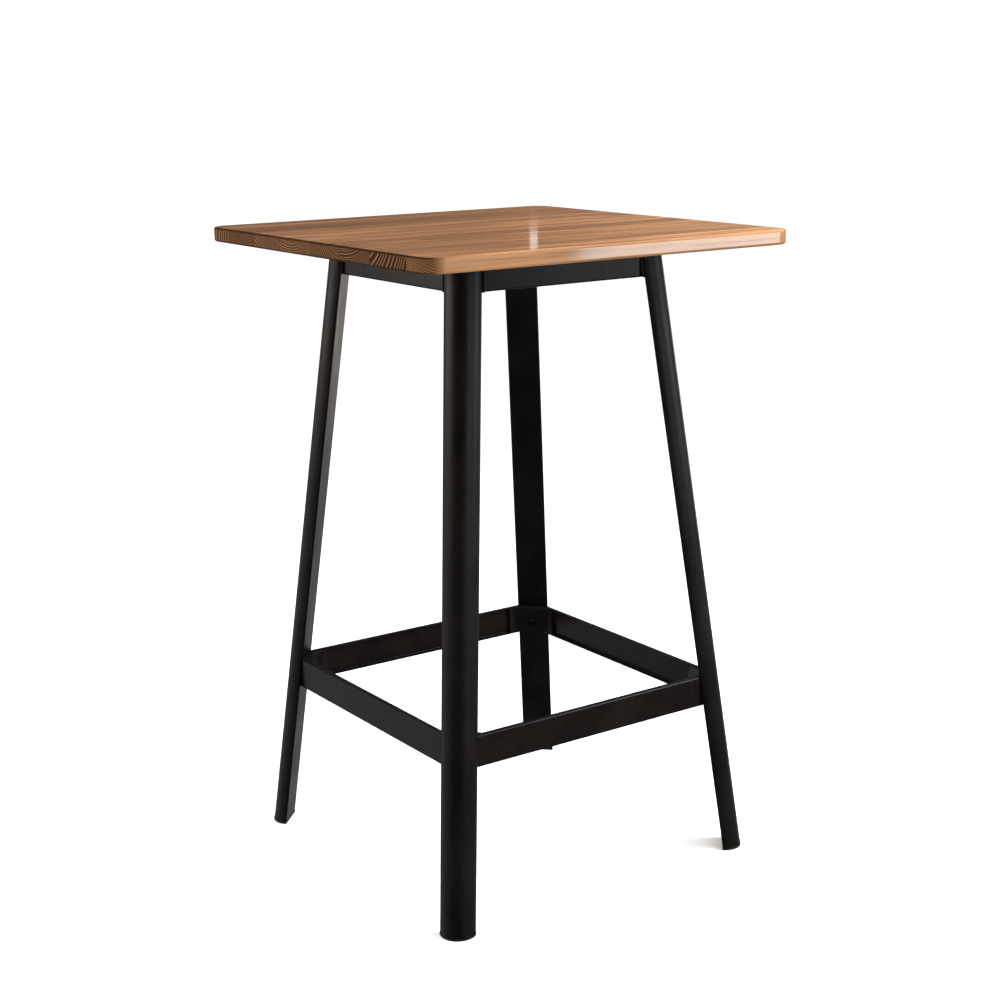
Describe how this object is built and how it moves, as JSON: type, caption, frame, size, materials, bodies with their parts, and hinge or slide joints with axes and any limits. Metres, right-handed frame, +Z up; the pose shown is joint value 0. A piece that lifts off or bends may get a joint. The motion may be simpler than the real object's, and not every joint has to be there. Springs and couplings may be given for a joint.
{
  "type": "bar table",
  "caption": "Bar-height bistro table: square edge-glued wooden top on splayed D-section tube legs, held by a bolted apron ring and a footrest ring",
  "frame": {"origin": "On the floor under the middle of the tabletop, at the bottom centre of the bounding box", "axes": "+Z up; +X to the right along the staves of the top; -Y towards the front"},
  "size_m": [0.7, 0.7, 1.09],
  "materials": {
    "top_wood": "satin lacquered softwood staves with growth rings, edge glued",
    "leg_steel": "satin black powder coat",
    "rail_steel": "satin black powder coat",
    "connector_casting": "fine-textured black powder coat on a casting",
    "cap_plastic": "moulded black polyethylene, matte",
    "bolt_steel": "black oxide",
    "zinc_steel": "bright zinc plate"
  },
  "bodies": {
    "root": {"apron_bolts": "bolt_steel", "apron_connector_front_left": "connector_casting", "apron_connector_front_right": "connector_casting", "apron_connector_rear_left": "connector_casting", "apron_connector_rear_right": "connector_casting", "apron_rail_front": "rail_steel", "apron_rail_left": "rail_steel", "apron_rail_rear": "rail_steel", "apron_rail_right": "rail_steel", "apron_rivet_nuts": "zinc_steel", "apron_washers": "bolt_steel", "foot_cap_front_left": "cap_plastic", "foot_cap_front_right": "cap_plastic", "foot_cap_rear_left": "cap_plastic", "foot_cap_rear_right": "cap_plastic", "footrest_bolts": "bolt_steel", "footrest_connector_front_left": "connector_casting", "footrest_connector_front_right": "connector_casting", "footrest_connector_rear_left": "connector_casting", "footrest_connector_rear_right": "connector_casting", "footrest_rail_front": "rail_steel", "footrest_rail_left": "rail_steel", "footrest_rail_rear": "rail_steel", "footrest_rail_right": "rail_steel", "footrest_rivet_nuts": "zinc_steel", "footrest_washers": "bolt_steel", "leg_front_left": "leg_steel", "leg_front_right": "leg_steel", "leg_rear_left": "leg_steel", "leg_rear_right": "leg_steel", "stave_1": "top_wood", "stave_2": "top_wood", "stave_3": "top_wood", "stave_4": "top_wood", "stave_5": "top_wood", "stave_6": "top_wood", "stave_7": "top_wood", "stave_8": "top_wood", "top_inserts": "zinc_steel", "top_screws": "bolt_steel"}
  },
  "joints": []
}
